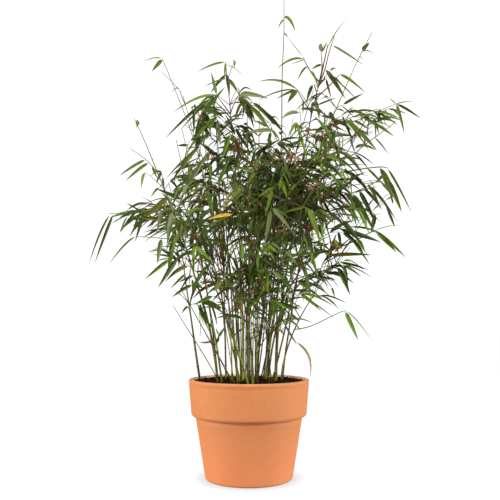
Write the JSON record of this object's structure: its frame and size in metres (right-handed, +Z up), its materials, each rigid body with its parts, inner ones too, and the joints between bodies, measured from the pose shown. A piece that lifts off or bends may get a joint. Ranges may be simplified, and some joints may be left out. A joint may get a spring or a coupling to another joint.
{
  "type": "potted bamboo",
  "caption": "Clumping bamboo with many slender culms and a loose, leafy crown, growing in a round terracotta pot with a deep rim band.",
  "frame": {"origin": "centre of the pot's flat underside", "axes": "+Z up along the pot's axis; +Y away from the viewer of the side shown, +X to that viewer's right"},
  "size_m": [0.7435, 0.6121, 1.018],
  "materials": {
    "terracotta": "matte",
    "soil": "matte",
    "culm": "satin",
    "foliage": "satin"
  },
  "bodies": {
    "root": {"culm_inner_01": "culm", "culm_inner_02": "culm", "culm_inner_03": "culm", "culm_inner_04": "culm", "culm_inner_05": "culm", "culm_inner_06": "culm", "culm_inner_07": "culm", "culm_inner_08": "culm", "culm_inner_09": "culm", "culm_inner_10": "culm", "culm_inner_11": "culm", "culm_inner_12": "culm", "culm_inner_13": "culm", "culm_inner_14": "culm", "culm_leader_back": "culm", "culm_leader_far_right": "culm", "culm_leader_front": "culm", "culm_leader_left": "culm", "culm_leader_middle": "culm", "culm_leader_right": "culm", "culm_leader_thin_left": "culm", "culm_leader_top": "culm", "culm_leader_upper_left": "culm", "culm_side_crossing": "culm", "culm_side_leaning": "culm", "culm_side_left": "culm", "culm_side_right": "culm", "foliage_core": "foliage", "foliage_left": "foliage", "foliage_left_back": "foliage", "foliage_left_drooping": "foliage", "foliage_low_spray": "foliage", "foliage_lower_back": "foliage", "foliage_lower_front": "foliage", "foliage_lower_left": "foliage", "foliage_lower_right": "foliage", "foliage_middle_back": "foliage", "foliage_middle_front": "foliage", "foliage_right": "foliage", "foliage_right_drooping": "foliage", "foliage_shoulder_left": "foliage", "foliage_shoulder_right": "foliage", "foliage_tip_top": "foliage", "foliage_top_front": "foliage", "foliage_top_left": "foliage", "foliage_top_middle": "foliage", "foliage_top_right": "foliage", "pot": "terracotta", "soil": "soil"}
  },
  "joints": []
}
